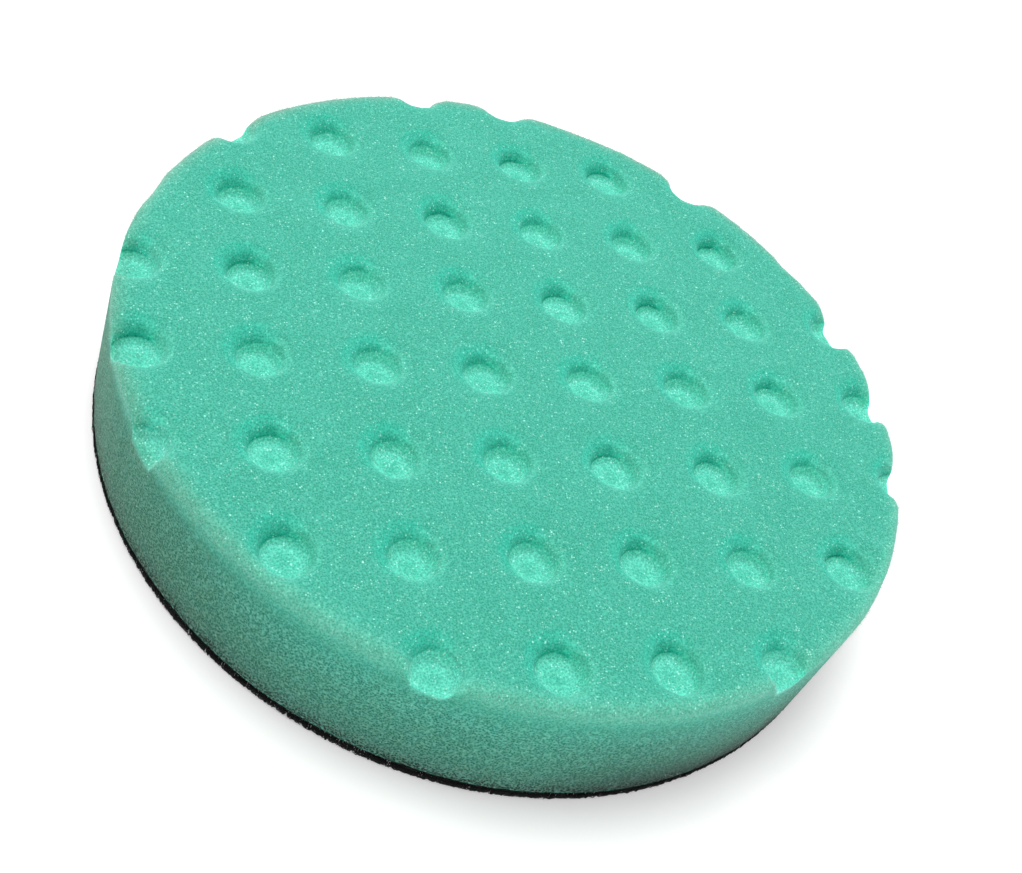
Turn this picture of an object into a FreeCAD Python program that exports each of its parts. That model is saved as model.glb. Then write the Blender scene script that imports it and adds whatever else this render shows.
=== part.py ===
import FreeCAD, Part
import os
import math
import Sketcher

# Foam polishing pad for a rotary or orbital machine polisher.
# Four laminated layers, from the machine side up: loop pile, knitted ground
# cloth, bond film, and the dimpled open-cell foam disc.
# Millimetres, +Z up (out of the working face), origin at the centre of the
# loop face, rows of dimples along X and Y.

V = FreeCAD.Vector
doc = FreeCAD.newDocument("polishing_pad")

# ---------------------------------------------------------------- dimensions
sheet = doc.addObject("Spreadsheet::Sheet", "Dimensions")
CELLS = [
    ("pad_dia", 140.0, "outside diameter of the pad, all layers cut together"),
    ("pile_thk", 1.4, "height of the brushed loop pile"),
    ("cloth_thk", 0.5, "thickness of the knitted ground cloth"),
    ("film_thk", 0.3, "thickness of the laminating bond film"),
    ("foam_thk", 23.2, "thickness of the foam, which makes the pad one inch in all"),
    ("film_inset", 0.4, "the film stops this far short of the cut edge"),
    ("pile_inset", 0.3, "the pile is trimmed this far inside the cut edge"),
    ("rim_ease", 1.0, "easing of the foam's upper cut edge, each way"),
    ("sheet_side", 176.0, "side of the square sheet the foam is cut from"),
    ("pitch", 19.0, "dimple spacing along the rows and between the rows"),
    ("rows", 8, "dimples along X and along Y in the sheet"),
    ("lattice_x", -9.15, "the dimple nearest the pad's centre, X"),
    ("lattice_y", -4.65, "the dimple nearest the pad's centre, Y"),
    ("back_steps", 3, "dimples on the minus side of that one, each way"),
    ("mouth_rad", 5.4, "dimple radius at the face, outside its soft shoulder"),
    ("shoulder_rad", 1.8, "radius of the soft shoulder round the mouth"),
    ("floor_rad", 3.5, "dimple radius at its floor"),
    ("floor_depth", 3.6, "dimple depth to the floor"),
    ("pit_rad", 1.4, "radius of the small pit in the floor"),
    ("pit_depth", 3.9, "dimple depth to the bottom of the pit"),
    ("section_turn", 135.0, "angle of the dimple's section plane to the rows"),
]
D = {}
sheet.set("A1", "Dimension")
sheet.set("B1", "Value")
sheet.set("C1", "What it is")
for n, (alias, value, note) in enumerate(CELLS, start=2):
    sheet.set("A%d" % n, alias)
    sheet.set("B%d" % n, str(value))
    sheet.set("C%d" % n, note)
    sheet.setAlias("B%d" % n, alias)
    D[alias] = value
doc.recompute()


def ref(alias):
    return "Dimensions." + alias


# ------------------------------------------------------------------- helpers
def plane_of(body, role):
    for feature in body.Origin.OriginFeatures:
        if feature.Role == role:
            return feature
    raise RuntimeError("no origin plane " + role)


def new_body(label, base_z):
    """A body named after its piece, lifted by an expression to its layer."""
    body = doc.addObject("PartDesign::Body", label)
    body.Label = label
    if base_z:
        body.setExpression("Placement.Base.z", base_z)
    return body


def new_sketch(body, name, role):
    sketch = body.newObject("Sketcher::SketchObject", name)
    sketch.AttachmentSupport = [(plane_of(body, role), "")]
    sketch.MapMode = "FlatFace"
    return sketch


def drive(sketch, constraint, name, expression):
    """Add a named constraint and bind its value to the sheet."""
    index = sketch.addConstraint(constraint)
    sketch.renameConstraint(index, name)
    sketch.setExpression("Constraints." + name, expression)
    return index


def disc(label, base_z, radius, thickness, start_radius):
    """A flat round layer: one circle, padded."""
    body = new_body(label, base_z)
    sketch = new_sketch(body, label + "_outline", "XY_Plane")
    sketch.addGeometry(Part.Circle(V(0, 0, 0), V(0, 0, 1), start_radius), False)
    sketch.addConstraint(Sketcher.Constraint("Coincident", 0, 3, -1, 1))
    drive(sketch, Sketcher.Constraint("Radius", 0, start_radius), "outline_radius", radius)
    pad = body.newObject("PartDesign::Pad", label + "_layer")
    pad.Profile = sketch
    pad.setExpression("Length", thickness)
    doc.recompute()
    return body


# -------------------------------------------------- the three backing layers
pile = disc("loop_pile", None,
            ref("pad_dia") + " / 2 - " + ref("pile_inset"), ref("pile_thk"),
            D["pad_dia"] / 2 - D["pile_inset"])
cloth = disc("backing_fabric", ref("pile_thk"),
             ref("pad_dia") + " / 2", ref("cloth_thk"), D["pad_dia"] / 2)
film = disc("bond_film", ref("pile_thk") + " + " + ref("cloth_thk"),
            ref("pad_dia") + " / 2 - " + ref("film_inset"), ref("film_thk"),
            D["pad_dia"] / 2 - D["film_inset"])

# ----------------------------------------------------------------- the foam
# Made the way it is made: a square sheet, its upper face dimpled all over on
# a square lattice, then a round die cuts the pad out wherever it falls. The
# lattice isn't centred on the cut, so dimples at the rim are cut through.
foam = new_body("foam_pad", ref("pile_thk") + " + " + ref("cloth_thk") + " + " + ref("film_thk"))

half = D["sheet_side"] / 2
blank = new_sketch(foam, "foam_sheet", "XY_Plane")
corners = [V(-half, -half, 0), V(half, -half, 0), V(half, half, 0), V(-half, half, 0)]
for k in range(4):
    blank.addGeometry(Part.LineSegment(corners[k], corners[(k + 1) % 4]), False)
for k in range(4):
    blank.addConstraint(Sketcher.Constraint("Coincident", k, 2, (k + 1) % 4, 1))
blank.addConstraint(Sketcher.Constraint("Horizontal", 0))
blank.addConstraint(Sketcher.Constraint("Horizontal", 2))
blank.addConstraint(Sketcher.Constraint("Vertical", 1))
blank.addConstraint(Sketcher.Constraint("Vertical", 3))
drive(blank, Sketcher.Constraint("DistanceX", 0, 1, 0, 2, 2 * half), "side_x", ref("sheet_side"))
drive(blank, Sketcher.Constraint("DistanceY", 1, 1, 1, 2, 2 * half), "side_y", ref("sheet_side"))
drive(blank, Sketcher.Constraint("DistanceX", 0, 1, -1, 1, half), "left_x", ref("sheet_side") + " / 2")
drive(blank, Sketcher.Constraint("DistanceY", 0, 1, -1, 1, half), "front_y", ref("sheet_side") + " / 2")
slab = foam.newObject("PartDesign::Pad", "foam_slab")
slab.Profile = blank
slab.setExpression("Length", ref("foam_thk"))
doc.recompute()
slab_volume = slab.Shape.Volume

# One dimple: half its section, turned about its own axis. A soft convex
# shoulder leads from the face into a steep wall, then the floor and its pit.
mouth, shoulder = D["mouth_rad"], D["shoulder_rad"]
floor_r, floor_d = D["floor_rad"], D["floor_depth"]
pit_r, pit_d = D["pit_rad"], D["pit_depth"]
proud = 1.0

# the wall is the tangent from the floor's edge to the shoulder's circle
centre = V(mouth, -shoulder, 0)
foot = V(floor_r, -floor_d, 0)
to_centre = centre - foot
reach = math.sqrt(to_centre.Length ** 2 - shoulder ** 2)
turn = math.atan2(to_centre.y, to_centre.x) + math.asin(shoulder / to_centre.Length)
lip = foot + V(math.cos(turn), math.sin(turn), 0) * reach

dimple = new_sketch(foam, "dimple_section", "XZ_Plane")
start_x = D["lattice_x"] - D["back_steps"] * D["pitch"]
start_y = D["lattice_y"] - D["back_steps"] * D["pitch"]
# the section stands at an angle to the rows, so its seam lies clear of the rim
dimple.AttachmentOffset = FreeCAD.Placement(V(start_x, D["foam_thk"], -start_y),
                                            FreeCAD.Rotation(V(0, 1, 0), D["section_turn"]))
dimple.setExpression("AttachmentOffset.Base.x",
                     ref("lattice_x") + " - " + ref("back_steps") + " * " + ref("pitch"))
dimple.setExpression("AttachmentOffset.Base.y", ref("foam_thk"))
dimple.setExpression("AttachmentOffset.Base.z",
                     ref("back_steps") + " * " + ref("pitch") + " - " + ref("lattice_y"))
pts = [V(0, proud, 0), V(0, -pit_d, 0), V(pit_r, -floor_d, 0), foot, lip,
       V(mouth, 0, 0), V(mouth, proud, 0)]
angle_lip = math.atan2(lip.y - centre.y, lip.x - centre.x)
if angle_lip < 0:
    angle_lip += 2 * math.pi
axis_line = dimple.addGeometry(Part.LineSegment(pts[0], pts[1]), False)
pit_line = dimple.addGeometry(Part.LineSegment(pts[1], pts[2]), False)
floor_line = dimple.addGeometry(Part.LineSegment(pts[2], pts[3]), False)
wall_line = dimple.addGeometry(Part.LineSegment(pts[3], pts[4]), False)
shoulder_arc = dimple.addGeometry(
    Part.ArcOfCircle(Part.Circle(centre, V(0, 0, 1), shoulder), math.pi / 2, angle_lip), False)
mouth_line = dimple.addGeometry(Part.LineSegment(pts[5], pts[6]), False)
top_line = dimple.addGeometry(Part.LineSegment(pts[6], pts[0]), False)
C = Sketcher.Constraint
dimple.addConstraint(C("Coincident", axis_line, 2, pit_line, 1))
dimple.addConstraint(C("Coincident", pit_line, 2, floor_line, 1))
dimple.addConstraint(C("Coincident", floor_line, 2, wall_line, 1))
dimple.addConstraint(C("Tangent", wall_line, 2, shoulder_arc, 2))
dimple.addConstraint(C("Coincident", shoulder_arc, 1, mouth_line, 1))
dimple.addConstraint(C("Coincident", mouth_line, 2, top_line, 1))
dimple.addConstraint(C("Coincident", top_line, 2, axis_line, 1))
dimple.addConstraint(C("PointOnObject", axis_line, 1, -2))
dimple.addConstraint(C("PointOnObject", axis_line, 2, -2))
dimple.addConstraint(C("Horizontal", floor_line))
dimple.addConstraint(C("Vertical", mouth_line))
dimple.addConstraint(C("Horizontal", top_line))
dimple.addConstraint(C("PointOnObject", shoulder_arc, 1, -1))
drive(dimple, C("DistanceY", -1, 1, axis_line, 1, proud), "section_top", "1 mm")
drive(dimple, C("DistanceY", axis_line, 2, -1, 1, pit_d), "depth_of_pit", ref("pit_depth"))
drive(dimple, C("DistanceX", -1, 1, pit_line, 2, pit_r), "radius_of_pit", ref("pit_rad"))
drive(dimple, C("DistanceY", pit_line, 2, -1, 1, floor_d), "depth_of_floor", ref("floor_depth"))
drive(dimple, C("DistanceX", -1, 1, floor_line, 2, floor_r), "radius_of_floor", ref("floor_rad"))
drive(dimple, C("DistanceX", -1, 1, shoulder_arc, 1, mouth), "radius_of_mouth", ref("mouth_rad"))
drive(dimple, C("DistanceX", -1, 1, shoulder_arc, 3, mouth), "shoulder_centre", ref("mouth_rad"))
drive(dimple, C("Radius", shoulder_arc, shoulder), "radius_of_shoulder", ref("shoulder_rad"))
doc.recompute()

seed = foam.newObject("PartDesign::Groove", "dimple")
seed.Profile = dimple
seed.ReferenceAxis = (dimple, ["V_Axis"])
seed.Angle = 360.0
doc.recompute()
seed_cut = slab_volume - seed.Shape.Volume
if seed_cut <= 0:
    raise RuntimeError("the first dimple cuts nothing")

# the square lattice: the row along X, then the rows along Y
lattice = foam.newObject("PartDesign::MultiTransform", "dimple_lattice")
lattice.Originals = [seed]
along_x = foam.newObject("PartDesign::LinearPattern", "dimples_along_x")
along_x.Direction = (plane_of(foam, "X_Axis"), [""])
along_x.setExpression("Length", "(" + ref("rows") + " - 1) * " + ref("pitch"))
along_x.setExpression("Occurrences", ref("rows"))
along_y = foam.newObject("PartDesign::LinearPattern", "dimples_along_y")
along_y.Direction = (plane_of(foam, "Y_Axis"), [""])
along_y.setExpression("Length", "(" + ref("rows") + " - 1) * " + ref("pitch"))
along_y.setExpression("Occurrences", ref("rows"))
lattice.Transformations = [along_x, along_y]
foam.Tip = lattice
doc.recompute()
count = int(D["rows"]) ** 2
cut = slab_volume - lattice.Shape.Volume
print("dimple %.2f mm3, %d dimples cut %.2f mm3, expected %.2f"
      % (seed_cut, count, cut, seed_cut * count))
if abs(cut - seed_cut * count) > 0.01 * cut:
    raise RuntimeError("the lattice of dimples is incomplete")

# the round die, which leaves the upper cut edge slightly eased
radius, thick, ease = D["pad_dia"] / 2, D["foam_thk"], D["rim_ease"]
outer = D["sheet_side"] * 0.75
die = new_sketch(foam, "die_section", "XZ_Plane")
dp = [V(radius, -1, 0), V(outer, -1, 0), V(outer, thick + 1, 0),
      V(radius - ease, thick + 1, 0), V(radius - ease, thick, 0), V(radius, thick - ease, 0)]
for k in range(6):
    die.addGeometry(Part.LineSegment(dp[k], dp[(k + 1) % 6]), False)
for k in range(6):
    die.addConstraint(C("Coincident", k, 2, (k + 1) % 6, 1))
die.addConstraint(C("Horizontal", 0))
die.addConstraint(C("Vertical", 1))
die.addConstraint(C("Horizontal", 2))
die.addConstraint(C("Vertical", 3))
die.addConstraint(C("Vertical", 5))
drive(die, C("DistanceX", -1, 1, 0, 1, radius), "die_radius", ref("pad_dia") + " / 2")
drive(die, C("DistanceX", -1, 1, 0, 2, outer), "die_reach", ref("sheet_side") + " * 0.75")
drive(die, C("DistanceY", 0, 1, -1, 1, 1), "die_below", "1 mm")
drive(die, C("DistanceY", -1, 1, 2, 1, thick + 1), "die_above", ref("foam_thk") + " + 1")
drive(die, C("DistanceY", -1, 1, 3, 2, thick), "face_height", ref("foam_thk"))
drive(die, C("DistanceX", 3, 2, 4, 2, ease), "ease_inward", ref("rim_ease"))
drive(die, C("DistanceY", 4, 2, 4, 1, ease), "ease_downward", ref("rim_ease"))
doc.recompute()
die_cut = foam.newObject("PartDesign::Groove", "die_cut")
die_cut.Profile = die
die_cut.ReferenceAxis = (die, ["V_Axis"])
die_cut.Angle = 360.0
foam.Tip = die_cut
doc.recompute()


def depth_at(r):
    """Depth of one dimple at a distance from its axis."""
    if r >= mouth:
        return 0.0
    if r >= lip.x:
        return shoulder - math.sqrt(shoulder ** 2 - (mouth - r) ** 2)
    if r >= floor_r:
        return -(foot.y + (lip.y - foot.y) * (r - floor_r) / (lip.x - floor_r))
    if r >= pit_r:
        return floor_d
    return pit_d - (pit_d - floor_d) * r / pit_r


# what the pad should hold: an eased disc less what each dimple takes inside it
plain = math.pi * (radius ** 2 * (thick - ease) + ease * (radius ** 2 - radius * ease + ease ** 2 / 3))
taken, cell = 0.0, 0.1
for a in range(int(D["rows"])):
    for b in range(int(D["rows"])):
        cx, cy = start_x + a * D["pitch"], start_y + b * D["pitch"]
        if math.hypot(cx, cy) > radius + mouth:
            continue
        if math.hypot(cx, cy) < radius - ease - mouth:
            taken += seed_cut
            continue
        steps = int(mouth / cell) + 1
        for p in range(-steps, steps):
            for q in range(-steps, steps):
                u, w = (p + 0.5) * cell, (q + 0.5) * cell
                out = math.hypot(cx + u, cy + w)
                if out < radius:
                    low = max(0.0, out - (radius - ease))
                    taken += max(0.0, depth_at(math.hypot(u, w)) - low) * cell * cell
print("foam %.0f mm3, expected %.0f mm3" % (foam.Shape.Volume, plain - taken))
if abs(foam.Shape.Volume - (plain - taken)) > 40:
    raise RuntimeError("the die cut or a dimple at the rim is wrong")

# -------------------------------------------------------------- check, write
bodies = [foam, film, cloth, pile]
doc.recompute()
for obj in doc.Objects:
    if "Invalid" in obj.State or "Error" in obj.State:
        raise RuntimeError(obj.Name + " failed: " + str(obj.State))
os.makedirs("parts", exist_ok=True)
for body in bodies:
    shape = body.Shape
    if shape.isNull() or not shape.isValid() or len(shape.Solids) != 1:
        raise RuntimeError(body.Label + " is not one valid solid")
for body in bodies:
    body.Shape.exportStep("parts/" + body.Label + ".step")
    box = body.Shape.optimalBoundingBox(False, False)
    print("%-15s z %.2f to %.2f, %.2f x %.2f mm, %.1f cm3, %d faces"
          % (body.Label, box.ZMin, box.ZMax, box.XLength, box.YLength,
             body.Shape.Volume / 1000, len(body.Shape.Faces)))
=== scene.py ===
import math

import bpy
import numpy as np
from mathutils import Matrix, Vector


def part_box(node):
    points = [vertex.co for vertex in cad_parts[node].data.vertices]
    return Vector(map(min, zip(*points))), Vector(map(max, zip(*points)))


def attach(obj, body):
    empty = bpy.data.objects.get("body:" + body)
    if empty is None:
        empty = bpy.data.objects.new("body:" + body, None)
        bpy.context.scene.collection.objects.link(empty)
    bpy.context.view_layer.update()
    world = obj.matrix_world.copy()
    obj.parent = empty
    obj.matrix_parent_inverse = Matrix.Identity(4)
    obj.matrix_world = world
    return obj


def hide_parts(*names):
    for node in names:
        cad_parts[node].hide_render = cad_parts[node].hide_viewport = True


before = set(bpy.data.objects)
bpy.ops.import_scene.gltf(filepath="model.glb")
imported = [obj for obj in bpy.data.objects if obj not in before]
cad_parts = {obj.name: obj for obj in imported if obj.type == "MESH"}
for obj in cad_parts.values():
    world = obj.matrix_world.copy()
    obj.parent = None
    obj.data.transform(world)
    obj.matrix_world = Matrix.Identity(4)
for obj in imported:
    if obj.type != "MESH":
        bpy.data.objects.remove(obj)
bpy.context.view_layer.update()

# Dimpled foam polishing pad: foam disc, bond film, knitted ground cloth and
# loop pile. Everything is worked out in millimetres and stored in metres.

MM = 0.001
PI = math.pi


def span(node):
    lo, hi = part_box(node)
    return (hi.x - lo.x) / 2 / MM, lo.z / MM, hi.z / MM


R, FOAM_LO, FACE = span("foam_pad")
R_FILM, FILM_LO, FILM_HI = span("bond_film")
R_CLOTH, CLOTH_LO, CLOTH_HI = span("backing_fabric")
R_PILE, PILE_LO, PILE_HI = span("loop_pile")

# ------------------------------------------------------------------ noise
TABLE = np.random.RandomState(71).uniform(-1, 1, 65536)


def lattice(ix, iy, iz, seed):
    h = (ix * 73856093) ^ (iy * 19349663) ^ (iz * 83492791) ^ (seed * 2654435)
    return TABLE[(h ^ (h >> 16)) & 0xFFFF]


def noise(x, y, z, cell, seed):
    """Smooth value noise, -1 to 1, with cells that many millimetres wide."""
    p = [np.asarray(v, float) / cell for v in np.broadcast_arrays(x, y, z)]
    i = [np.floor(v).astype(np.int64) for v in p]
    f = [v - k for v, k in zip(p, i)]
    u = [v * v * (3 - 2 * v) for v in f]
    total = 0.0
    for a in (0, 1):
        for b in (0, 1):
            for c in (0, 1):
                w = (u[0] if a else 1 - u[0]) * (u[1] if b else 1 - u[1]) * (u[2] if c else 1 - u[2])
                total = total + w * lattice(i[0] + a, i[1] + b, i[2] + c, seed)
    return total


def smooth(lo, hi, v):
    t = np.clip((v - lo) / (hi - lo), 0, 1)
    return t * t * (3 - 2 * t)


# ----------------------------------------------------------------- meshes
def make(name, co, quads, tris=(), attrs=None, smooth_shade=True):
    """A mesh object from arrays: points in millimetres, quads, triangles."""
    co = np.asarray(co, np.float32) * MM
    quads = np.asarray(quads, np.int32).reshape(-1, 4)
    tris = np.asarray(tris, np.int32).reshape(-1, 3)
    me = bpy.data.meshes.new(name)
    me.vertices.add(len(co))
    me.vertices.foreach_set("co", co.ravel())
    corners = np.concatenate([quads.ravel(), tris.ravel()]).astype(np.int32)
    me.loops.add(len(corners))
    me.loops.foreach_set("vertex_index", corners)
    starts = np.concatenate([np.arange(len(quads)) * 4, len(quads) * 4 + np.arange(len(tris)) * 3])
    me.polygons.add(len(starts))
    me.polygons.foreach_set("loop_start", starts.astype(np.int32))
    me.update(calc_edges=True)
    me.validate()
    me.polygons.foreach_set("use_smooth", np.full(len(me.polygons), smooth_shade))
    for key, values in (attrs or {}).items():
        a = me.attributes.new(key, "FLOAT", "POINT")
        a.data.foreach_set("value", np.asarray(values, np.float32))
    me.update()
    ob = bpy.data.objects.new(name, me)
    bpy.context.scene.collection.objects.link(ob)
    return ob


def disc_grid(n):
    """A square grid bent into a unit disc, with its edge points in order."""
    g = np.linspace(-1, 1, n + 1)
    a, b = np.meshgrid(g, g, indexing="ij")
    wide = np.abs(a) > np.abs(b)
    r = np.where(wide, a, b)
    with np.errstate(divide="ignore", invalid="ignore"):
        t = np.where(wide, PI / 4 * b / a, PI / 2 - PI / 4 * a / b)
    t[~np.isfinite(t)] = 0
    x, y = r * np.cos(t), r * np.sin(t)
    index = np.arange((n + 1) ** 2).reshape(n + 1, n + 1)
    quads = np.stack([index[:-1, :-1], index[1:, :-1], index[1:, 1:], index[:-1, 1:]], -1)
    edge = np.concatenate([index[n, :-1], index[:0:-1, n], index[0, :0:-1], index[:-1, 0]])
    return x.ravel(), y.ravel(), quads.reshape(-1, 4), edge


def band(upper, lower):
    """Quads between two closed rings of points, facing outwards."""
    return np.stack([upper, lower, np.roll(lower, -1), np.roll(upper, -1)], -1)


def puck(n, rings, top, bottom=None):
    """A closed disc. rings run from the edge of the upper face down to the
    edge of the lower one, each (radius, height) against azimuth; top and
    bottom give the faces' heights. Without bottom the lower face is a fan."""
    gx, gy, quads, edge = disc_grid(n)
    phi = np.arctan2(gy[edge], gx[edge])
    scale = rings[0][0](phi) if callable(rings[0][0]) else rings[0][0]
    az = np.arctan2(gy, gx)
    s = rings[0][0](az) if callable(rings[0][0]) else rings[0][0]
    x, y = gx * s, gy * s
    points, faces = [np.stack([x, y, top(x, y)], -1)], [quads]
    count = len(x)
    previous = edge
    for radius, height in rings[1:]:
        r = radius(phi) if callable(radius) else np.full(len(phi), radius)
        z = height(phi) if callable(height) else np.full(len(phi), height)
        points.append(np.stack([r * np.cos(phi), r * np.sin(phi), z], -1))
        ring = np.arange(count, count + len(phi))
        count += len(phi)
        faces.append(band(previous, ring))
        previous = ring
    tris = []
    if bottom is None:
        points.append(np.array([[0, 0, points[-1][:, 2].mean()]]))
        tris = np.stack([previous, np.full(len(phi), count), np.roll(previous, -1)], -1)
    else:
        r = rings[-1][0]
        s = r(az) if callable(r) else r
        inner = np.setdiff1d(np.arange(len(gx)), edge)
        where = np.zeros(len(gx), np.int64)
        where[inner] = count + np.arange(len(inner))
        where[edge] = previous
        bx, by = (gx * s)[inner], (gy * s)[inner]
        points.append(np.stack([bx, by, bottom(bx, by)], -1))
        faces.append(where[quads][:, ::-1])
    return np.concatenate(points), np.concatenate(faces), tris


def tubes(paths, radii, sides=3, caps=True):
    """Closed tubes along many paths at once. paths is (n, k, 3), radii is
    (n, k) and each tube has that many sides."""
    n, k, _ = paths.shape
    tangent = np.gradient(paths, axis=1)
    tangent /= np.linalg.norm(tangent, axis=2, keepdims=True) + 1e-12
    chord = paths[:, -1] - paths[:, 0]
    middle = paths[:, k // 2] - (paths[:, -1] + paths[:, 0]) / 2
    ref = np.cross(chord, middle) + np.array([1e-4, 2e-4, 3e-4])
    ref /= np.linalg.norm(ref, axis=1, keepdims=True)
    side = ref[:, None, :] - tangent * (tangent * ref[:, None, :]).sum(2, keepdims=True)
    side /= np.linalg.norm(side, axis=2, keepdims=True) + 1e-12
    other = np.cross(tangent, side)
    angle = np.arange(sides) * 2 * PI / sides
    ring = side[:, :, None, :] * np.cos(angle)[:, None] + other[:, :, None, :] * np.sin(angle)[:, None]
    co = paths[:, :, None, :] + ring * radii[:, :, None, None]
    index = np.arange(n * k * sides).reshape(n, k, sides)
    a, b = index[:, :-1], index[:, 1:]
    quads = np.stack([a, np.roll(a, -1, 2), np.roll(b, -1, 2), b], -1).reshape(-1, 4)
    if not caps:
        return co.reshape(-1, 3), quads, []
    if sides == 3:
        tris = np.concatenate([index[:, 0, ::-1], index[:, -1]])
        return co.reshape(-1, 3), quads, tris
    ends = np.concatenate([index[:, 0, ::-1], index[:, -1]])
    return co.reshape(-1, 3), np.concatenate([quads, ends]), []


# ------------------------------------------------------------- foam shape
PITCH, ROW_X, ROW_Y = 19.0, -9.15, -4.65
FLOOR_R, FLOOR_D, STEEP, FALL, REACH = 3.7, 3.5, 0.28, 1.9, 8.6
# direction of each dimple's painted shade: its back-left side
SHADE_DIR = (-0.766, 0.643)
ROUND, ROUND_CUT = 1.6, 0.38

pick = np.random.RandomState(5)
DIMPLES = []
for i in range(-5, 6):
    for j in range(-5, 6):
        v = pick.uniform(-1, 1, 6)
        cx, cy = ROW_X + PITCH * i + 0.22 * v[0], ROW_Y + PITCH * j + 0.22 * v[1]
        if math.hypot(cx, cy) < R + REACH:
            DIMPLES.append((cx, cy, FLOOR_R * (1 + 0.05 * v[2]), FLOOR_D * (1 + 0.05 * v[3]),
                            FALL * (1 + 0.08 * v[4]), 0.03 * v[5]))


def dimples(x, y):
    """Depth of the dimpling, distance from the nearest dimple's axis, and how
    far the point is on the back left of its dimple, the side that gets painted shade."""
    depth, near, shade_side = np.zeros_like(x), np.full_like(x, 30.0), np.zeros_like(x)
    for cx, cy, r0, d0, fall, oval in DIMPLES:
        m = (np.abs(x - cx) < REACH + 1) & (np.abs(y - cy) < REACH + 1)
        if not m.any():
            continue
        dx, dy = (x[m] - cx) * (1 + oval), (y[m] - cy) * (1 - oval)
        r = np.hypot(dx, dy)
        wobble = 0.10 * noise(dx, dy, cx, 2.2, 9) * smooth(1.2, 2.6, r)
        q = r + wobble
        s = 0.22 * np.logaddexp(0, (q - r0) / 0.22)
        d = d0 * (0.78 * np.exp(-s / STEEP) + 0.22 * np.exp(-(s / fall) ** 2))
        d += 0.22 * np.clip(1 - (q / r0) ** 2, 0, 1) * (d0 / FLOOR_D)
        depth[m] = np.maximum(depth[m], d)
        near[m] = np.minimum(near[m], r)
        # how far towards the back left, where the dimple's wall and shoulder get painted shade
        toward = (dx * SHADE_DIR[0] + dy * SHADE_DIR[1]) / np.maximum(r, 0.3)
        shade_side[m] = np.maximum(shade_side[m], smooth(-0.25, 0.85, toward) * (1 - smooth(4.0, 7.6, r)))
    return depth, near, shade_side


def relief(x, y, z):
    """The cut foam's own unevenness, in millimetres along its normal."""
    return (0.075 * noise(x, y, z, 7.0, 1) + 0.045 * noise(x, y, z, 2.1, 2)
            + 0.040 * noise(x, y, z, 0.8, 3) + 0.035 * noise(x, y, z, 0.45, 5))


def face_height(x, y):
    depth = dimples(x, y)[0]
    swell = 0.45 * smooth(R - 12, R - 2, np.hypot(x, y)) * (1 - np.clip(depth, 0, 1))
    return FACE - depth + swell + relief(x, y, 0) - 0.12


def outline(phi):
    return 0.10 * noise(6 * np.cos(phi), 6 * np.sin(phi), 0, 2.0, 11) + 0.05 * noise(40 * np.cos(phi), 40 * np.sin(phi), 0, 3.0, 12)


def foam_rings():
    rings = []

    def edge(phi):
        d = dimples(R * np.cos(phi), R * np.sin(phi))[0]
        cut = smooth(0.2, 2.2, d)
        return ROUND + (ROUND_CUT - ROUND) * cut

    def shoulder(theta):
        def radius(phi):
            e = edge(phi)
            return R + 0.05 + outline(phi) - e * (1 - math.sin(theta))

        def height(phi):
            e = edge(phi)
            r = radius(phi)
            return face_height(r * np.cos(phi), r * np.sin(phi)) - e * (1 - math.cos(theta))
        return radius, height

    steps = 7
    for k in range(steps + 1):
        rings.append(shoulder(PI / 2 * k / steps))
    top_r, top_z = rings[-1]
    foot = FOAM_LO + 0.16
    rows = 54
    for k in range(1, rows + 1):
        t = k / rows

        def height(phi, t=t):
            return top_z(phi) + (foot - top_z(phi)) * t

        def radius(phi, t=t):
            z = height(phi)
            x, y = R * np.cos(phi), R * np.sin(phi)
            fade = smooth(0, 0.06, t)
            ripple = 0.9 * relief(x, y, z) + 0.03 * noise(x, y, z, 0.5, 4)
            return top_r(phi) + fade * ripple
        rings.append((radius, height))
    last = rings[-1][0]
    rings.append((lambda phi: last(phi) - 0.05, FOAM_LO + 0.05))
    rings.append((lambda phi: last(phi) - 0.30, FOAM_LO))
    rings.append((R * 0.8, FOAM_LO))
    return rings


co, quads, tris = puck(440, foam_rings(), face_height)
depth, near, shade_side = dimples(co[:, 0], co[:, 1])
radial = np.hypot(co[:, 0], co[:, 1])
level = FACE - depth
below = level - co[:, 2]
side = smooth(0.5, 1.6, below) * smooth(R - 2.5, R - 0.6, radial)
rim = np.exp(-(np.clip(R - radial, 0, None) / 1.8) ** 2) * np.exp(-(np.clip(below, 0, None) / 2.4) ** 2)
foam = make("foam_pad_visual", co, quads, tris, {
    "dimple": np.clip(near, 0, 12) / 12,
    "hollow": np.clip(depth / FLOOR_D, 0, 1.1) * (1 - side),
    "side": side,
    "rim": rim,
    "shade_side": shade_side * (1 - side),
    "drop": np.clip((FACE - co[:, 2]) / (FACE - FOAM_LO), 0, 1),
})

# --------------------------------------------------------------- fuzz
grow = np.random.RandomState(17)


def hairs(base, normal, length, radius, curl, k=4):
    """Paths and radii of thin hairs that leave base along normal."""
    n = len(base)
    away = grow.normal(0, 1, (n, 3))
    away -= normal * (away * normal).sum(1, keepdims=True)
    away /= np.linalg.norm(away, axis=1, keepdims=True)
    t = np.linspace(0, 1, k)[None, :, None]
    reach = length[:, None, None]
    path = base[:, None, :] + reach * (t * normal[:, None, :] + curl[:, None, None] * t * t * away[:, None, :])
    taper = radius[:, None] * (1 - 0.75 * np.linspace(0, 1, k)[None, :] ** 1.5)
    return path, taper


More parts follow.
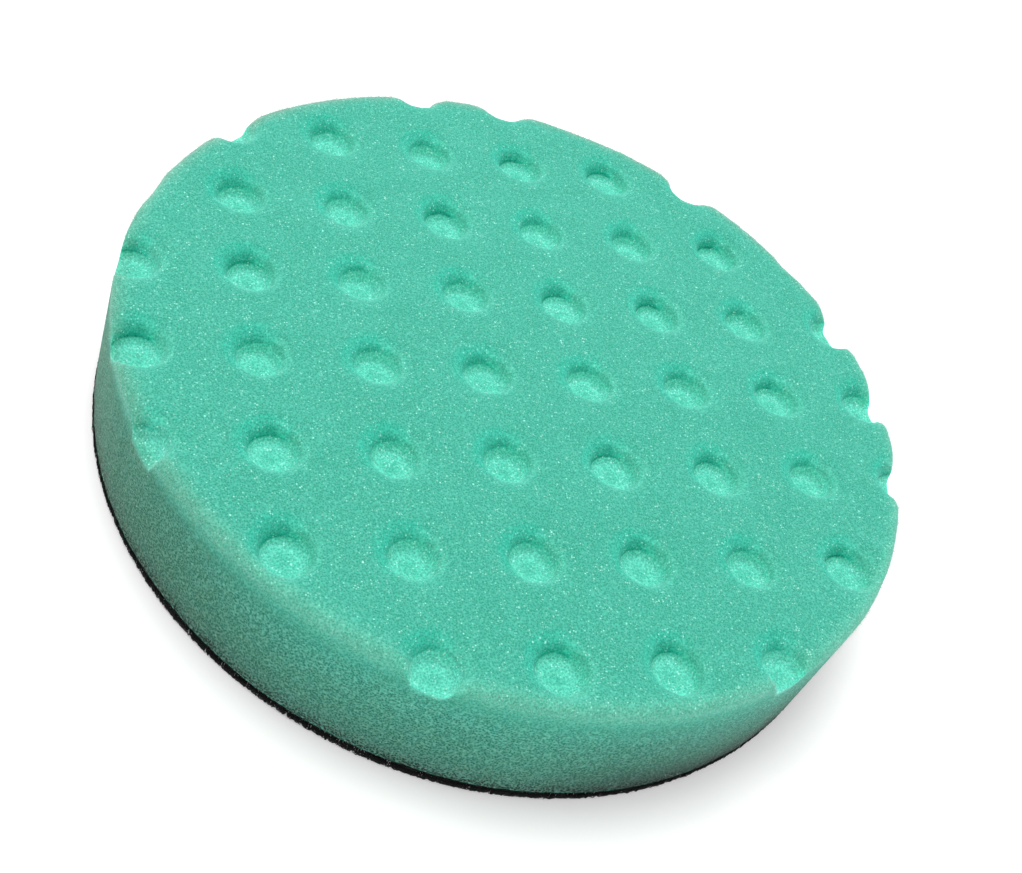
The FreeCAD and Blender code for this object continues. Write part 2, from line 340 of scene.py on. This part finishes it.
def on_foam(phi, where):
    """Points and normals on the foam's cut edge: where runs 0 on the face,
    1 at the side's top, and on to 2 at the side's foot."""
    d = dimples((R - 0.3) * np.cos(phi), (R - 0.3) * np.sin(phi))[0]
    e = ROUND + (ROUND_CUT - ROUND) * smooth(0.2, 2.2, d)
    theta = np.clip(where, 0, 1) * PI / 2
    r = R + 0.05 + outline(phi) - e * (1 - np.sin(theta))
    x, y = r * np.cos(phi), r * np.sin(phi)
    z = face_height(x, y) - e * (1 - np.cos(theta))
    z = z + (FOAM_LO + 0.4 - z) * np.clip(where - 1, 0, 1)
    out = np.stack([np.cos(phi), np.sin(phi), 0 * phi], -1)
    normal = out * np.sin(theta)[:, None] + np.array([0, 0, 1.0]) * np.cos(theta)[:, None]
    return np.stack([x, y, z], -1) - 0.05 * normal, normal


n = 11000
turn = grow.uniform(0, 2 * PI, n)
sunken = dimples((R - 0.3) * np.cos(turn), (R - 0.3) * np.sin(turn))[0]
turn = turn[grow.uniform(0, 1, n) > smooth(0.4, 1.6, sunken)]
n = len(turn)
base, normal = on_foam(turn, grow.uniform(0.10, 1.04, n))
m = 3000
base2, normal2 = on_foam(grow.uniform(0, 2 * PI, m), 1.05 + 0.95 * grow.uniform(0, 1, m))
path, taper = hairs(np.concatenate([base, base2]), np.concatenate([normal, normal2]),
                    np.concatenate([0.14 + np.clip(grow.gamma(2.0, 0.14, n), 0, 0.62), grow.uniform(0.12, 0.28, m)]),
                    grow.uniform(0.013, 0.023, n + m), grow.uniform(0.1, 0.8, n + m), 2)
co, quads, tris = tubes(path, taper)
fuzz = make("foam_cut_fuzz", co, quads, tris)

# ------------------------------------------------------------ bond film
film_edge = lambda phi: R_FILM - 0.1 + 0.22 * noise(30 * np.cos(phi), 30 * np.sin(phi), 0, 2.6, 21)
co, quads, tris = puck(96, [
    (lambda phi: film_edge(phi) - 0.20, FILM_HI),
    (lambda phi: film_edge(phi) - 0.05, FILM_HI - 0.06),
    (film_edge, (FILM_HI + FILM_LO) / 2),
    (lambda phi: film_edge(phi) - 0.05, FILM_LO + 0.06),
    (lambda phi: film_edge(phi) - 0.20, FILM_LO),
    (R_FILM * 0.8, FILM_LO)], lambda x, y: np.full_like(x, FILM_HI))
film = make("bond_film_visual", co, quads, tris)

# --------------------------------------------------------- ground cloth
WALE, COURSE = 1.3, 1.05


def knit(x, y):
    """Ribs of the ground cloth's stitches, 0 to 1."""
    rib = np.abs(np.cos(PI * x / WALE))
    stitch = 0.5 + 0.5 * np.cos(2 * PI * (y / COURSE + 0.25 * np.sign(np.sin(2 * PI * x / WALE))))
    return 0.65 * rib + 0.35 * stitch


cloth_edge = lambda phi: R_CLOTH - 0.16 + 0.14 * noise(60 * np.cos(phi), 60 * np.sin(phi), 0, 1.1, 31)
co, quads, tris = puck(300, [
    (lambda phi: cloth_edge(phi) - 0.30, CLOTH_HI),
    (lambda phi: cloth_edge(phi) - 0.08, CLOTH_HI - 0.08),
    (cloth_edge, (CLOTH_HI + CLOTH_LO) / 2),
    (lambda phi: cloth_edge(phi) - 0.08, CLOTH_LO + 0.10),
    (lambda phi: cloth_edge(phi) - 0.30, CLOTH_LO + 0.02)],
    lambda x, y: np.full_like(x, CLOTH_HI),
    lambda x, y: CLOTH_LO + 0.02 + 0.13 * (1 - knit(x, y)))
cloth = make("backing_fabric_visual", co, quads, tris)

# -------------------------------------------------------------- loop pile
step_x, step_y = WALE * 0.86, COURSE * 0.98
gx, gy = np.meshgrid(np.arange(-R_PILE, R_PILE, step_x), np.arange(-R_PILE, R_PILE, step_y), indexing="ij")
gx = gx + 0.5 * step_x * (np.arange(gx.shape[1]) % 2)[None, :]
gx, gy = gx.ravel(), gy.ravel()
gx = gx + grow.normal(0, 0.20, len(gx))
gy = gy + grow.normal(0, 0.20, len(gy))
keep = np.hypot(gx, gy) < R_PILE - 0.1
hem = grow.uniform(0, 2 * PI, 7500)
hem_r = R - 0.10 - np.clip(grow.gamma(1.6, 0.16, len(hem)), 0, 0.8)
gx = np.concatenate([gx[keep], hem_r * np.cos(hem)])
gy = np.concatenate([gy[keep], hem_r * np.sin(hem)])
n = len(gx)
nap = 0.9 + 0.5 * noise(gx, gy, 0, 9.0, 41)
turn = grow.normal(0, 0.75, n) + 0.4 * noise(gx, gy, 0, 6.0, 42)
width = grow.uniform(0.55, 1.15, n)
turn[-len(hem):] = hem + PI / 2 + grow.normal(0, 0.35, len(hem))
width[-len(hem):] = grow.uniform(0.30, 0.60, len(hem))
drop = np.clip(grow.normal(1.16, 0.15, n), 0.7, 1.34)
drop[-len(hem):] = np.clip(grow.normal(1.30, 0.05, len(hem)), 1.0, 1.36)
t = np.linspace(0, 1, 8)[None, :]
arch = np.sin(PI * t) ** 0.62
along = (t - 0.5) * width[:, None] * (1 + 0.55 * np.sin(PI * t))
lean = 0.55 * nap + grow.normal(0, 0.30, n)
lean[-len(hem):] = grow.normal(0, 0.04, len(hem))
lean = lean[:, None] * np.sin(PI * t) ** 1.4
sway = (grow.normal(0, 0.25, n) * np.where(np.arange(n) < n - len(hem), 1, 0.3))[:, None] * np.sin(PI * t) * np.cos(PI * t)
px = gx[:, None] + along * np.cos(turn)[:, None] - (lean + sway) * np.sin(turn)[:, None] * 0.6
py = gy[:, None] + along * np.sin(turn)[:, None] + lean * 0.9 + sway * np.cos(turn)[:, None]
thread = grow.uniform(0.055, 0.085, n)[:, None] * np.ones_like(px)
pz = PILE_HI + 0.10 - (drop[:, None] + 0.10) * arch
pz = np.maximum(pz, PILE_LO + 0.02 + thread)
out = np.hypot(px, py)
press = np.minimum(1, (R + 0.04) / out)
co, quads, tris = tubes(np.stack([px * press, py * press, pz], -1), thread)
pile = make("loop_pile_visual", co, quads, tris)

# Frayed fibres along the cut edge of the cloth, some caught on the foam.
n = 1700
phi = grow.uniform(0, 2 * PI, n)
start = grow.uniform(PILE_LO + 0.4, CLOTH_HI, n)
k = 5
t = np.linspace(0, 1, k)[None, :]
rise = np.where(grow.uniform(0, 1, n) < 0.62, grow.gamma(2.0, 0.42, n), grow.uniform(-1.1, 0.4, n))
rise = np.clip(rise, -1.2, 3.4)
sweep = grow.normal(0, 0.9, n)
puff = grow.uniform(0.0, 0.10, n)
fz = start[:, None] + rise[:, None] * t
fz = np.clip(fz, PILE_LO + 0.06, None)
fr = R - 0.30 + 0.32 * smooth(0, 0.35, t) * smooth(PILE_LO, CLOTH_LO, fz) + puff[:, None] * np.sin(PI * np.clip(t * 1.15, 0, 1)) + 0.05 * t
fa = phi[:, None] + sweep[:, None] * t / R + 0.3 * grow.normal(0, 1, n)[:, None] * np.sin(PI * t) / R
path = np.stack([fr * np.cos(fa), fr * np.sin(fa), fz], -1)
taper = grow.uniform(0.022, 0.042, n)[:, None] * (1 - 0.6 * t ** 2)
co, quads, tris = tubes(path, taper)
fray = make("cloth_edge_fray", co, quads, tris)


# -------------------------------------------------------------- materials
class Nodes:
    """Short names for building one material's node tree."""

    def __init__(self, name):
        self.mat = bpy.data.materials.new(name)
        self.mat.use_nodes = True
        self.t = self.mat.node_tree
        self.p = self.t.nodes["Principled BSDF"]
        tc = self.t.nodes.new("ShaderNodeTexCoord")
        scale = self.t.nodes.new("ShaderNodeVectorMath")
        scale.operation = "SCALE"
        scale.inputs["Scale"].default_value = 1000.0
        self.t.links.new(tc.outputs["Object"], scale.inputs[0])
        self.mm = scale.outputs[0]

    def put(self, value, socket):
        if isinstance(value, bpy.types.NodeSocket):
            self.t.links.new(value, socket)
        else:
            socket.default_value = value

    def noise(self, size, detail=2.0, rough=0.5, vector=None, out="Fac"):
        n = self.t.nodes.new("ShaderNodeTexNoise")
        n.inputs["Scale"].default_value = 1.0 / size
        n.inputs["Detail"].default_value = detail
        n.inputs["Roughness"].default_value = rough
        self.put(vector or self.mm, n.inputs["Vector"])
        return n.outputs[out]

    def cells(self, size, feature="F1", out="Distance", vector=None, random=1.0):
        n = self.t.nodes.new("ShaderNodeTexVoronoi")
        n.feature = feature
        n.inputs["Scale"].default_value = 1.0 / size
        n.inputs["Randomness"].default_value = random
        self.put(vector or self.mm, n.inputs["Vector"])
        return n.outputs[out]

    def attr(self, name):
        n = self.t.nodes.new("ShaderNodeAttribute")
        n.attribute_name = name
        return n.outputs["Fac"]

    def math(self, op, a, b=0.0, c=None, clamp=False):
        n = self.t.nodes.new("ShaderNodeMath")
        n.operation = op
        n.use_clamp = clamp
        self.put(a, n.inputs[0])
        self.put(b, n.inputs[1])
        if c is not None:
            self.put(c, n.inputs[2])
        return n.outputs[0]

    def fit(self, v, lo, hi, a=0.0, b=1.0, kind="SMOOTHSTEP"):
        n = self.t.nodes.new("ShaderNodeMapRange")
        n.interpolation_type = kind
        self.put(v, n.inputs["Value"])
        for key, value in (("From Min", lo), ("From Max", hi), ("To Min", a), ("To Max", b)):
            n.inputs[key].default_value = value
        return n.outputs["Result"]

    def mix(self, fac, a, b, blend="MIX"):
        n = self.t.nodes.new("ShaderNodeMix")
        n.data_type = "RGBA"
        n.blend_type = blend
        self.put(fac, n.inputs["Factor"])
        self.put(a, n.inputs[6])
        self.put(b, n.inputs[7])
        return n.outputs[2]

    def grain(self, v, lo, hi, swing):
        """Each channel's factor as v runs from lo to hi: one plus or minus its swing."""
        n = self.t.nodes.new("ShaderNodeCombineColor")
        for k in range(3):
            self.put(self.fit(v, lo, hi, 1 - swing[k], 1 + swing[k], "LINEAR"), n.inputs[k])
        return n.outputs[0]

    def grey(self, v):
        n = self.t.nodes.new("ShaderNodeCombineColor")
        for k in range(3):
            self.put(v, n.inputs[k])
        return n.outputs[0]

    def ramp(self, v, stops):
        n = self.t.nodes.new("ShaderNodeValToRGB")
        e = n.color_ramp.elements
        while len(e) < len(stops):
            e.new(0.5)
        for item, (pos, rgb) in zip(e, stops):
            item.position = pos
            item.color = (*rgb, 1)
        self.put(v, n.inputs[0])
        return n.outputs["Color"]

    def bump(self, height, distance, strength=1.0, normal=None):
        n = self.t.nodes.new("ShaderNodeBump")
        n.inputs["Strength"].default_value = strength
        n.inputs["Distance"].default_value = distance
        self.put(height, n.inputs["Height"])
        if normal is not None:
            self.put(normal, n.inputs["Normal"])
        return n.outputs["Normal"]

    def set(self, **sockets):
        for key, value in sockets.items():
            self.put(value, self.p.inputs[key.replace("_", " ")])
        return self.mat


def rgb(r, g, b):
    return (r, g, b, 1.0)


# Open-cell foam
f = Nodes("open_cell_foam")
side_a, rim_a, drop_a = f.attr("side"), f.attr("rim"), f.attr("drop")
hollow_a, dimple_a, shade_side_a = f.attr("hollow"), f.attr("dimple"), f.attr("shade_side")
pore = f.cells(0.33)
pore_side = f.cells(0.37)
fine = f.noise(0.17, 1.0)
blotch = f.noise(9.0, 3.0, 0.55)
mottle = f.noise(2.4, 2.0)

face = f.ramp(blotch, [(0.30, (0.057, 0.396, 0.288)), (0.70, (0.066, 0.420, 0.310))])
radius_mm = f.math("MULTIPLY", dimple_a, 12.0)
drop_mm = f.math("MULTIPLY", drop_a, FACE - FOAM_LO)
flat_a = f.math("SUBTRACT", 1.0, side_a)
# painted shade: each dimple's back-left shoulder is darker and more saturated
colour = f.mix(f.fit(shade_side_a, 0.0, 0.6, 0.0, 0.75), face, rgb(0.036, 0.435, 0.318))
# painted light: each dimple's shoulder and upper wall away from the back left are lighter
shoulder = f.math("MULTIPLY", f.fit(hollow_a, 0.05, 0.22), f.fit(shade_side_a, 0.45, 0.85, 1.0, 0.0))
colour = f.mix(shoulder, colour, f.ramp(shade_side_a, [(0.0, (0.088, 0.490, 0.364)), (0.25, (0.074, 0.530, 0.394))]))
# the pressed dimple floor is lighter, with painted shade darkening its centre
floor_mask = f.fit(radius_mm, FLOOR_R - 0.10, FLOOR_R + 0.12, 1.0, 0.0)
floor_col = f.ramp(f.fit(radius_mm, 0.0, FLOOR_R, kind="LINEAR"), [
    (0.0, (0.084, 0.510, 0.385)), (0.25, (0.094, 0.540, 0.408)), (0.50, (0.116, 0.600, 0.460)),
    (0.85, (0.124, 0.620, 0.480)), (1.0, (0.116, 0.620, 0.478))])
# painted light and shade: each dimple's wall is lighter away from the back left and darker on the back left
wall_mask = f.math("MULTIPLY", f.fit(hollow_a, 0.36, 0.88), f.math("SUBTRACT", 1.0, floor_mask))
wall_light_and_shade = f.ramp(shade_side_a, [(0.0, (0.115, 0.640, 0.488)), (0.30, (0.044, 0.700, 0.515)), (0.85, (0.009, 0.430, 0.310))])
colour = f.mix(wall_mask, colour, wall_light_and_shade)
# painted shade in the crease at the foot of each dimple's back-left wall
painted_crease_shade = f.math("MULTIPLY", f.math("MULTIPLY", f.fit(hollow_a, 0.55, 0.82), f.fit(shade_side_a, 0.02, 0.34)),
                f.math("SUBTRACT", 1.0, floor_mask))
colour = f.mix(painted_crease_shade, colour, f.ramp(shade_side_a, [(0.25, (0.015, 0.360, 0.255)), (0.85, (0.004, 0.230, 0.155))]))
colour = f.mix(f.math("MULTIPLY", floor_mask, flat_a), colour, floor_col)

# the cut side, with painted light making it paler at the top where light comes through from the face, and painted shade
# darkening it towards the backing
side_col = f.ramp(drop_a, [
    (0.0, (0.140, 0.540, 0.412)), (0.045, (0.106, 0.480, 0.358)), (0.09, (0.076, 0.420, 0.308)),
    (0.13, (0.065, 0.385, 0.284)), (0.18, (0.053, 0.345, 0.254)), (0.22, (0.053, 0.326, 0.240)),
    (0.35, (0.053, 0.290, 0.216)), (0.52, (0.051, 0.254, 0.186)), (0.69, (0.049, 0.222, 0.161)),
    (0.86, (0.046, 0.179, 0.134)), (0.95, (0.043, 0.152, 0.115)), (1.0, (0.046, 0.145, 0.112))])
side_col = f.mix(f.fit(mottle, 0.35, 0.65, 0.0, 0.35), side_col, f.mix(1.0, side_col, rgb(1.15, 0.95, 0.84), "MULTIPLY"))
# painted shade: the foam is darkened round the left of the cut, and low on the right
place = f.t.nodes.new("ShaderNodeSeparateXYZ")
f.t.links.new(f.mm, place.inputs[0])


def toward(degrees):
    """How squarely a point of the side faces one direction, 1 when it does."""
    a = math.radians(degrees)
    return f.math("ADD", f.math("MULTIPLY", place.outputs[0], math.cos(a) / R),
                  f.math("MULTIPLY", place.outputs[1], math.sin(a) / R))


depth_2 = f.math("ADD", f.fit(drop_mm, 2.0, 16.0, 0.0, 0.50, "LINEAR"), f.fit(drop_mm, 16.0, 22.0, 0.0, 0.45, "LINEAR"))
painted_side_shade = f.math("MULTIPLY", f.fit(toward(300), 0.76, 0.93), depth_2)
side_col = f.mix(painted_side_shade, side_col, f.mix(1.0, side_col, rgb(0.45, 0.36, 0.38), "MULTIPLY"))
colour = f.mix(side_a, colour, side_col)
# pale rim band: partly the paler cut struts, partly painted light and sheen on the rounded edge, pinkish grey towards
# the back where the rim is seen at a grazing angle
frost_and_sheen = f.math("MULTIPLY", f.math("MULTIPLY", rim_a, flat_a), f.fit(mottle, 0.3, 0.7, 0.75, 1.0), clamp=True)
frost_and_sheen = f.math("MULTIPLY", frost_and_sheen, f.fit(hollow_a, 0.25, 0.75, 1.0, 0.15))
colour = f.mix(frost_and_sheen, colour, f.mix(f.fit(toward(85), 0.15, 0.80), rgb(0.132, 0.490, 0.368), rgb(0.235, 0.385, 0.310)))
# painted shade on the left of the side and rim, stronger below the top
painted_side_shade = f.math("MULTIPLY", f.fit(toward(190), 0.72, 1.02), f.fit(drop_mm, 2.5, 5.5, 0.50, 1.0))
painted_side_shade = f.math("MULTIPLY", painted_side_shade, f.fit(drop_mm, 6.0, 22.0, 1.0, 0.60, "LINEAR"))
painted_side_shade = f.math("MULTIPLY", painted_side_shade, f.math("MAXIMUM", side_a, rim_a))
colour = f.mix(painted_side_shade, colour, f.mix(1.0, colour, rgb(0.78, 0.62, 0.58), "MULTIPLY"))

# struts pale and pores dark in the foam's grain, and painted glints where a few struts seem to catch the light
speck = f.math("ADD", pore, f.math("MULTIPLY", fine, 0.9))
speck_side = f.math("ADD", pore_side, f.math("MULTIPLY", fine, 0.9))
face_rb = f.grain(speck, 0.45, 1.35, (0.56, 0.315, 0.350))
side_rb = f.mix(f.fit(drop_mm, 3.0, 8.0), f.grain(speck_side, 0.45, 1.35, (0.68, 0.36, 0.42)),
                f.grain(speck_side, 0.45, 1.35, (1.32, 0.75, 0.83)))
colour = f.mix(1.0, colour, f.mix(side_a, face_rb, side_rb), "MULTIPLY")


def painted_glint(size, share, brightest):
    """Scattered struts with a painted glint, as if catching the light: how much of the pale colour."""
    parts = f.t.nodes.new("ShaderNodeSeparateColor")
    f.t.links.new(f.cells(size, out="Color"), parts.inputs[0])
    chosen = f.fit(parts.outputs[0], 1 - share, 1 - share * 0.7)
    spot = f.fit(f.cells(size), 0.22, 0.50, 1.0, 0.0)
    strength = f.fit(parts.outputs[1], 0.0, 1.0, 0.2, brightest, "LINEAR")
    return f.math("MULTIPLY", f.math("MULTIPLY", chosen, spot), strength)


crowd = f.fit(f.noise(1.5, 2.0), 0.44, 0.60, 0.30, 1.0)
painted_sparkle = f.math("MULTIPLY", crowd, f.math("ADD", painted_glint(0.34, 0.30, 0.95), painted_glint(0.45, 0.055, 1.0), clamp=True))
painted_sparkle = f.math("MULTIPLY", painted_sparkle, f.math("SUBTRACT", 1.0, f.math("MULTIPLY", side_a, 0.75)), clamp=True)
# more painted glints on the dimple floors
painted_sparkle = f.math("MULTIPLY", painted_sparkle, f.math("ADD", 1.0, f.math("MULTIPLY", floor_mask, 0.7)), clamp=True)
colour = f.mix(painted_sparkle, colour, rgb(0.44, 0.90, 0.79))
sunk = f.fit(drop_mm, 18.6, FACE - FOAM_LO, -0.10, 0.84, "LINEAR")
cell_shade = f.fit(speck_side, 0.45, 1.35, 0.0, 1.0, "LINEAR")
dark_cell = f.math("MULTIPLY", f.math("MULTIPLY", f.math("SUBTRACT", sunk, cell_shade), 5.0, clamp=True), side_a)
colour = f.mix(f.math("MULTIPLY", dark_cell, 0.85), colour, rgb(0.010, 0.016, 0.014))

height = f.math("ADD", f.math("MULTIPLY", pore, 0.7), f.math("MULTIPLY", fine, 0.35))
height = f.math("ADD", height, f.math("MULTIPLY", f.math("MULTIPLY", pore_side, side_a), 0.8))
FOAM = f.set(Base_Color=colour,
             Roughness=f.fit(pore, 0.0, 0.7, 0.95, 0.72, "LINEAR"),
             Normal=f.bump(height, 0.00010, 0.55))
f.p.inputs["Specular IOR Level"].default_value = 0.12
f.p.inputs["Subsurface Weight"].default_value = 0.7
f.p.inputs["Subsurface Radius"].default_value = (0.25, 1.0, 0.8)
f.p.inputs["Subsurface Scale"].default_value = 0.0024
f.put(f.fit(rim_a, 0.0, 0.9, 0.05, 0.14, "LINEAR"), f.p.inputs["Sheen Weight"])
f.p.inputs["Sheen Roughness"].default_value = 0.40
f.p.inputs["Sheen Tint"].default_value = (1.0, 0.66, 0.66, 1)

# Cut strut ends
f = Nodes("cut_foam_struts")
tint = f.noise(3.0, 2.0)
FUZZ = f.set(Base_Color=f.ramp(tint, [(0.3, (0.28, 0.56, 0.45)), (0.55, (0.37, 0.59, 0.50)), (0.75, (0.48, 0.61, 0.56))]),
             Roughness=f.fit(f.noise(0.6, 1.0), 0.3, 0.7, 0.55, 0.85))
f.p.inputs["Specular IOR Level"].default_value = 0.3

# Bond film: dark flame-laminated line
f = Nodes("laminating_film")
FILM = f.set(Base_Color=f.ramp(f.noise(1.4, 3.0), [(0.3, (0.006, 0.007, 0.007)), (0.7, (0.014, 0.018, 0.016))]),
             Roughness=f.fit(f.noise(0.7, 2.0), 0.3, 0.7, 0.55, 0.80),
             Normal=f.bump(f.noise(0.5, 2.0), 0.00008, 0.5))
f.p.inputs["Specular IOR Level"].default_value = 0.10

# Knitted ground cloth
f = Nodes("knitted_ground_cloth")
xyz = f.t.nodes.new("ShaderNodeSeparateXYZ")
f.t.links.new(f.mm, xyz.inputs[0])
wale = f.math("ABSOLUTE", f.math("COSINE", f.math("MULTIPLY", xyz.outputs[0], PI / WALE)))
course = f.math("SINE", f.math("MULTIPLY", xyz.outputs[1], 2 * PI / COURSE))
stitch = f.math("MULTIPLY", wale, f.fit(course, -1.0, 1.0, 0.55, 1.0))
yarn = f.noise(0.22, 2.0)
tone = f.math("MULTIPLY", stitch, f.fit(yarn, 0.3, 0.7, 0.6, 1.2))
CLOTH = f.set(Base_Color=f.ramp(tone, [(0.0, (0.003, 0.003, 0.004)), (0.6, (0.009, 0.009, 0.010)), (1.0, (0.018, 0.018, 0.020))]),
              Roughness=f.fit(yarn, 0.3, 0.7, 0.70, 0.95),
              Normal=f.bump(f.math("ADD", stitch, f.math("MULTIPLY", yarn, 0.4)), 0.00025, 0.8))
f.p.inputs["Sheen Weight"].default_value = 0.03
f.p.inputs["Sheen Roughness"].default_value = 0.5
f.p.inputs["Specular IOR Level"].default_value = 0.10

# Nylon loops and frayed fibres
f = Nodes("nylon_loops")
patch = f.noise(11.0, 2.0)
strand = f.noise(0.9, 2.0)
loop_tone = f.math("ADD", f.math("MULTIPLY", patch, 0.5), f.math("MULTIPLY", strand, 0.5))
LOOPS = f.set(Base_Color=f.ramp(loop_tone, [(0.30, (0.004, 0.004, 0.005)), (0.55, (0.008, 0.008, 0.009)), (0.75, (0.015, 0.015, 0.016))]),
              Roughness=f.fit(strand, 0.3, 0.7, 0.45, 0.70))
f.p.inputs["Specular IOR Level"].default_value = 0.10
f.p.inputs["Sheen Weight"].default_value = 0.02
f.p.inputs["Sheen Roughness"].default_value = 0.4

for piece, material, node, slot_name in (
        (foam, FOAM, "foam_pad", "foam"),
        (fuzz, FUZZ, "foam_pad", "foam"),
        (film, FILM, "bond_film", "bond"),
        (cloth, CLOTH, "backing_fabric", "ground_cloth"),
        (fray, LOOPS, "backing_fabric", "ground_cloth"),
        (pile, LOOPS, "loop_pile", "loops")):
    piece.data.materials.append(material)
    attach(piece, "root")
    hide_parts(node)

# ------------------------------------------------------------- the studio
bpy.ops.mesh.primitive_plane_add(size=6.0, location=(0, 0, 0))
floor = bpy.context.object
floor.name = "floor"
g = Nodes("studio_floor")
floor.data.materials.append(g.set(
    Base_Color=g.ramp(g.noise(400.0, 2.0), [(0.3, (0.915, 0.915, 0.910)), (0.7, (0.930, 0.930, 0.925))]),
    Roughness=0.75))
g.p.inputs["Specular IOR Level"].default_value = 0.1
g.p.inputs["Emission Color"].default_value = (1.0, 1.0, 1.0, 1)
g.p.inputs["Emission Strength"].default_value = 0.22
# Seen from below the floor is clear, and light from below gets to the middle of the underside.
side, reach, clear, pick = (
    g.t.nodes.new("ShaderNode" + kind) for kind in ("NewGeometry", "VectorMath", "BsdfTransparent", "MixShader"))
reach.operation = "LENGTH"
g.t.links.new(g.mm, reach.inputs[0])
g.put(g.math("MAXIMUM", side.outputs["Backfacing"], g.math("LESS_THAN", reach.outputs["Value"], 67.5)),
      pick.inputs["Fac"])
g.put(g.p.outputs["BSDF"], pick.inputs[1])
g.put(clear.outputs["BSDF"], pick.inputs[2])
g.put(pick.outputs["Shader"], g.t.nodes["Material Output"].inputs["Surface"])

world = bpy.data.worlds.new("studio")
bpy.context.scene.world = world
world.use_nodes = True
world.node_tree.nodes["Background"].inputs["Color"].default_value = (1.0, 1.0, 1.0, 1)
world.node_tree.nodes["Background"].inputs["Strength"].default_value = 0.65


def area(name, at, look, size, watts, colour=(1, 1, 1)):
    lamp = bpy.data.lights.new(name, "AREA")
    lamp.shape = "DISK"
    lamp.size = size
    lamp.energy = watts
    lamp.color = colour
    ob = bpy.data.objects.new(name, lamp)
    ob.location = at
    ob.rotation_euler = (Vector(at) - Vector(look)).to_track_quat("Z", "Y").to_euler()
    bpy.context.scene.collection.objects.link(ob)
    return ob


area("key", (-0.125, 0.240, 1.07), (0, 0, 0.02), 0.70, 8.0)
area("fill", (0.28, -0.90, 0.62), (0, 0, 0.02), 0.60, 0.9)

camera_data = bpy.data.cameras.new("camera")
camera_data.sensor_width = 36.0
camera_data.lens = 1422.0 / 1022.0 * 36.0
camera_data.clip_start, camera_data.clip_end = 0.005, 20.0
camera = bpy.data.objects.new("camera", camera_data)
bpy.context.scene.collection.objects.link(camera)
right, up, back = Vector((0.9243, -0.2006, 0.3247)), Vector((-0.0597, 0.7641, 0.6423)), Vector((-0.377, -0.6131, 0.6943))
right.normalize()
back = (back - right * back.dot(right)).normalized()
up = back.cross(right)
frame_of = Matrix((right, up, back)).transposed().to_4x4()
frame_of.translation = Vector((-0.09439, -0.15930, 0.1842))
camera.matrix_world = frame_of
bpy.context.scene.camera = camera

bpy.context.scene.view_settings.view_transform = "Standard"
